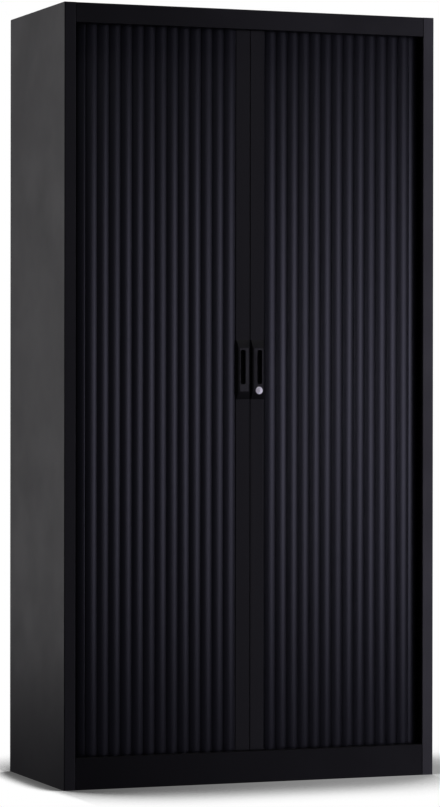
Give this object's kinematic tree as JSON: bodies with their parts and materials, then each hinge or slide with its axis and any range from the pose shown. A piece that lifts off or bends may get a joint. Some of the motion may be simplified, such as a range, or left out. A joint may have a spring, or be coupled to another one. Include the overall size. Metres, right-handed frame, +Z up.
{
  "type": "tambour cupboard",
  "caption": "Tall steel cupboard with two ribbed roll fronts that slide sideways into the cabinet, a key lock and lift-off shelves.",
  "frame": {"origin": "on the floor, under the middle of the cabinet", "axes": "+Z up, +X to the right seen from the front, front faces -Y"},
  "size_m": [1, 0.45, 1.95],
  "materials": {
    "side_paint": "satin, fine texture",
    "panel_paint": "satin, fine texture",
    "inside_paint": "satin",
    "slat_plastic": "satin",
    "stile_finish": "satin",
    "handle_plastic": "moulded",
    "track_plastic": "matte",
    "lock_metal": "polished",
    "zinc_steel": "zinc plated",
    "seal_rubber": "matte",
    "foot_rubber": "matte",
    "plug_plastic": "matte"
  },
  "bodies": {
    "carcass": {"left_side_panel": "side_paint", "right_side_panel": "side_paint", "top_panel": "panel_paint", "base_panel": "inside_paint", "bottom_shelf": "inside_paint", "plinth": "panel_paint", "back_panel": "panel_paint", "left_liner": "inside_paint", "right_liner": "inside_paint", "top_track": "track_plastic", "bottom_track": "track_plastic", "track_stops": "track_plastic", "shelf_clips": "zinc_steel", "access_plugs": "plug_plastic", "back_screws": "zinc_steel"},
    "left_door": {"left_stile": "stile_finish", "left_handle": "handle_plastic", "striker_plate": "zinc_steel", "door_seal": "seal_rubber"},
    "right_door": {"right_stile": "stile_finish", "right_handle": "handle_plastic", "lock_housing": "lock_metal"},
    "lock_plug": {"lock_barrel": "lock_metal", "lock_hook": "zinc_steel"},
    "shelf_1": {"shelf_1": "inside_paint"},
    "shelf_2": {"shelf_2": "inside_paint"},
    "shelf_3": {"shelf_3": "inside_paint"},
    "shelf_4": {"shelf_4": "inside_paint"},
    "foot_1": {"foot_1": "foot_rubber"},
    "foot_2": {"foot_2": "foot_rubber"},
    "foot_3": {"foot_3": "foot_rubber"},
    "foot_4": {"foot_4": "foot_rubber"},
    "left_slat_01": {"left_slat_01": "slat_plastic"},
    "left_slat_02": {"left_slat_02": "slat_plastic"},
    "left_slat_03": {"left_slat_03": "slat_plastic"},
    "left_slat_04": {"left_slat_04": "slat_plastic"},
    "left_slat_05": {"left_slat_05": "slat_plastic"},
    "left_slat_06": {"left_slat_06": "slat_plastic"},
    "left_slat_07": {"left_slat_07": "slat_plastic"},
    "left_slat_08": {"left_slat_08": "slat_plastic"},
    "left_slat_09": {"left_slat_09": "slat_plastic"},
    "left_slat_10": {"left_slat_10": "slat_plastic"},
    "left_slat_11": {"left_slat_11": "slat_plastic"},
    "left_slat_12": {"left_slat_12": "slat_plastic"},
    "left_slat_13": {"left_slat_13": "slat_plastic"},
    "left_slat_14": {"left_slat_14": "slat_plastic"},
    "right_slat_01": {"right_slat_01": "slat_plastic"},
    "right_slat_02": {"right_slat_02": "slat_plastic"},
    "right_slat_03": {"right_slat_03": "slat_plastic"},
    "right_slat_04": {"right_slat_04": "slat_plastic"},
    "right_slat_05": {"right_slat_05": "slat_plastic"},
    "right_slat_06": {"right_slat_06": "slat_plastic"},
    "right_slat_07": {"right_slat_07": "slat_plastic"},
    "right_slat_08": {"right_slat_08": "slat_plastic"},
    "right_slat_09": {"right_slat_09": "slat_plastic"},
    "right_slat_10": {"right_slat_10": "slat_plastic"},
    "right_slat_11": {"right_slat_11": "slat_plastic"},
    "right_slat_12": {"right_slat_12": "slat_plastic"},
    "right_slat_13": {"right_slat_13": "slat_plastic"},
    "right_slat_14": {"right_slat_14": "slat_plastic"}
  },
  "joints": [
    {"name": "left_door_slide", "type": "slide", "parent": "carcass", "child": "left_door", "axis": [-1, 0, 0], "range_m": [0, 0.3971]},
    {"name": "right_door_slide", "type": "slide", "parent": "carcass", "child": "right_door", "axis": [1, 0, 0], "range_m": [0, 0.3971]},
    {"name": "left_slat_01_slide", "type": "slide", "parent": "carcass", "child": "left_slat_01", "axis": [-1, 0, 0], "range_m": [0, 0.3971], "deforming": ["left_slat_01"]},
    {"name": "left_slat_02_slide", "type": "slide", "parent": "carcass", "child": "left_slat_02", "axis": [-1, 0, 0], "range_m": [0, 0.38248], "deforming": ["left_slat_02"]},
    {"name": "left_slat_03_slide", "type": "slide", "parent": "carcass", "child": "left_slat_03", "axis": [-1, 0, 0], "range_m": [0, 0.35323], "deforming": ["left_slat_03"]},
    {"name": "left_slat_04_slide", "type": "slide", "parent": "carcass", "child": "left_slat_04", "axis": [-1, 0, 0], "range_m": [0, 0.32398], "deforming": ["left_slat_04"]},
    {"name": "left_slat_05_slide", "type": "slide", "parent": "carcass", "child": "left_slat_05", "axis": [-1, 0, 0], "range_m": [0, 0.29473], "deforming": ["left_slat_05"]},
    {"name": "left_slat_06_slide", "type": "slide", "parent": "carcass", "child": "left_slat_06", "axis": [-1, 0, 0], "range_m": [0, 0.26548], "deforming": ["left_slat_06"]},
    {"name": "left_slat_07_slide", "type": "slide", "parent": "carcass", "child": "left_slat_07", "axis": [-1, 0, 0], "range_m": [0, 0.23622], "deforming": ["left_slat_07"]},
    {"name": "left_slat_08_slide", "type": "slide", "parent": "carcass", "child": "left_slat_08", "axis": [-1, 0, 0], "range_m": [0, 0.20697], "deforming": ["left_slat_08"]},
    {"name": "left_slat_09_slide", "type": "slide", "parent": "carcass", "child": "left_slat_09", "axis": [-1, 0, 0], "range_m": [0, 0.17772], "deforming": ["left_slat_09"]},
    {"name": "left_slat_10_slide", "type": "slide", "parent": "carcass", "child": "left_slat_10", "axis": [-1, 0, 0], "range_m": [0, 0.14847], "deforming": ["left_slat_10"]},
    {"name": "left_slat_11_slide", "type": "slide", "parent": "carcass", "child": "left_slat_11", "axis": [-1, 0, 0], "range_m": [0, 0.11922], "deforming": ["left_slat_11"]},
    {"name": "left_slat_12_slide", "type": "slide", "parent": "carcass", "child": "left_slat_12", "axis": [-1, 0, 0], "range_m": [0, 0.08997], "deforming": ["left_slat_12"]},
    {"name": "left_slat_13_slide", "type": "slide", "parent": "carcass", "child": "left_slat_13", "axis": [-1, 0, 0], "range_m": [0, 0.06073], "deforming": ["left_slat_13"]},
    {"name": "left_slat_14_turn", "type": "hinge", "parent": "carcass", "child": "left_slat_14", "pos_m": [-0.4374, -0.1599, 0.9925], "axis": [0, 0, 1], "range_deg": [-67.9, 0]},
    {"name": "right_slat_01_slide", "type": "slide", "parent": "carcass", "child": "right_slat_01", "axis": [1, 0, 0], "range_m": [0, 0.3971], "deforming": ["right_slat_01"]},
    {"name": "right_slat_02_slide", "type": "slide", "parent": "carcass", "child": "right_slat_02", "axis": [1, 0, 0], "range_m": [0, 0.38248], "deforming": ["right_slat_02"]},
    {"name": "right_slat_03_slide", "type": "slide", "parent": "carcass", "child": "right_slat_03", "axis": [1, 0, 0], "range_m": [0, 0.35323], "deforming": ["right_slat_03"]},
    {"name": "right_slat_04_slide", "type": "slide", "parent": "carcass", "child": "right_slat_04", "axis": [1, 0, 0], "range_m": [0, 0.32398], "deforming": ["right_slat_04"]},
    {"name": "right_slat_05_slide", "type": "slide", "parent": "carcass", "child": "right_slat_05", "axis": [1, 0, 0], "range_m": [0, 0.29473], "deforming": ["right_slat_05"]},
    {"name": "right_slat_06_slide", "type": "slide", "parent": "carcass", "child": "right_slat_06", "axis": [1, 0, 0], "range_m": [0, 0.26548], "deforming": ["right_slat_06"]},
    {"name": "right_slat_07_slide", "type": "slide", "parent": "carcass", "child": "right_slat_07", "axis": [1, 0, 0], "range_m": [0, 0.23622], "deforming": ["right_slat_07"]},
    {"name": "right_slat_08_slide", "type": "slide", "parent": "carcass", "child": "right_slat_08", "axis": [1, 0, 0], "range_m": [0, 0.20697], "deforming": ["right_slat_08"]},
    {"name": "right_slat_09_slide", "type": "slide", "parent": "carcass", "child": "right_slat_09", "axis": [1, 0, 0], "range_m": [0, 0.17772], "deforming": ["right_slat_09"]},
    {"name": "right_slat_10_slide", "type": "slide", "parent": "carcass", "child": "right_slat_10", "axis": [1, 0, 0], "range_m": [0, 0.14847], "deforming": ["right_slat_10"]},
    {"name": "right_slat_11_slide", "type": "slide", "parent": "carcass", "child": "right_slat_11", "axis": [1, 0, 0], "range_m": [0, 0.11922], "deforming": ["right_slat_11"]},
    {"name": "right_slat_12_slide", "type": "slide", "parent": "carcass", "child": "right_slat_12", "axis": [1, 0, 0], "range_m": [0, 0.08997], "deforming": ["right_slat_12"]},
    {"name": "right_slat_13_slide", "type": "slide", "parent": "carcass", "child": "right_slat_13", "axis": [1, 0, 0], "range_m": [0, 0.06073], "deforming": ["right_slat_13"]},
    {"name": "right_slat_14_turn", "type": "hinge", "parent": "carcass", "child": "right_slat_14", "pos_m": [0.4374, -0.1599, 0.9925], "axis": [0, 0, 1], "range_deg": [0, 67.9]},
    {"name": "lock_turn", "type": "hinge", "parent": "right_door", "child": "lock_plug", "pos_m": [0.02, -0.209, 0.99], "axis": [0, 1, 0], "range_deg": [0, 90]},
    {"name": "shelf_1_lift", "type": "slide", "parent": "carcass", "child": "shelf_1", "axis": [0, 0, 1], "range_m": [0, 0.012]},
    {"name": "shelf_2_lift", "type": "slide", "parent": "carcass", "child": "shelf_2", "axis": [0, 0, 1], "range_m": [0, 0.012]},
    {"name": "shelf_3_lift", "type": "slide", "parent": "carcass", "child": "shelf_3", "axis": [0, 0, 1], "range_m": [0, 0.012]},
    {"name": "shelf_4_lift", "type": "slide", "parent": "carcass", "child": "shelf_4", "axis": [0, 0, 1], "range_m": [0, 0.012]},
    {"name": "foot_1_screw", "type": "slide", "parent": "carcass", "child": "foot_1", "axis": [0, 0, -1], "range_m": [0, 0.012]},
    {"name": "foot_2_screw", "type": "slide", "parent": "carcass", "child": "foot_2", "axis": [0, 0, -1], "range_m": [0, 0.012]},
    {"name": "foot_3_screw", "type": "slide", "parent": "carcass", "child": "foot_3", "axis": [0, 0, -1], "range_m": [0, 0.012]},
    {"name": "foot_4_screw", "type": "slide", "parent": "carcass", "child": "foot_4", "axis": [0, 0, -1], "range_m": [0, 0.012]}
  ],
  "couplings": [
    {"joint": "left_slat_01_slide", "follows": "left_door_slide", "ratio": 1},
    {"joint": "left_slat_02_slide", "follows": "left_door_slide", "ratio": 0.96317},
    {"joint": "left_slat_03_slide", "follows": "left_door_slide", "ratio": 0.88951},
    {"joint": "left_slat_04_slide", "follows": "left_door_slide", "ratio": 0.81585},
    {"joint": "left_slat_05_slide", "follows": "left_door_slide", "ratio": 0.74219},
    {"joint": "left_slat_06_slide", "follows": "left_door_slide", "ratio": 0.66853},
    {"joint": "left_slat_07_slide", "follows": "left_door_slide", "ratio": 0.59488},
    {"joint": "left_slat_08_slide", "follows": "left_door_slide", "ratio": 0.52122},
    {"joint": "left_slat_09_slide", "follows": "left_door_slide", "ratio": 0.44756},
    {"joint": "left_slat_10_slide", "follows": "left_door_slide", "ratio": 0.3739},
    {"joint": "left_slat_11_slide", "follows": "left_door_slide", "ratio": 0.30024},
    {"joint": "left_slat_12_slide", "follows": "left_door_slide", "ratio": 0.22658},
    {"joint": "left_slat_13_slide", "follows": "left_door_slide", "ratio": 0.15292},
    {"joint": "left_slat_14_turn", "follows": "left_door_slide", "rad_per_m": -2.9843},
    {"joint": "right_slat_01_slide", "follows": "right_door_slide", "ratio": 1},
    {"joint": "right_slat_02_slide", "follows": "right_door_slide", "ratio": 0.96317},
    {"joint": "right_slat_03_slide", "follows": "right_door_slide", "ratio": 0.88951},
    {"joint": "right_slat_04_slide", "follows": "right_door_slide", "ratio": 0.81585},
    {"joint": "right_slat_05_slide", "follows": "right_door_slide", "ratio": 0.74219},
    {"joint": "right_slat_06_slide", "follows": "right_door_slide", "ratio": 0.66853},
    {"joint": "right_slat_07_slide", "follows": "right_door_slide", "ratio": 0.59488},
    {"joint": "right_slat_08_slide", "follows": "right_door_slide", "ratio": 0.52122},
    {"joint": "right_slat_09_slide", "follows": "right_door_slide", "ratio": 0.44756},
    {"joint": "right_slat_10_slide", "follows": "right_door_slide", "ratio": 0.3739},
    {"joint": "right_slat_11_slide", "follows": "right_door_slide", "ratio": 0.30024},
    {"joint": "right_slat_12_slide", "follows": "right_door_slide", "ratio": 0.22658},
    {"joint": "right_slat_13_slide", "follows": "right_door_slide", "ratio": 0.15292},
    {"joint": "right_slat_14_turn", "follows": "right_door_slide", "rad_per_m": 2.9843}
  ]
}
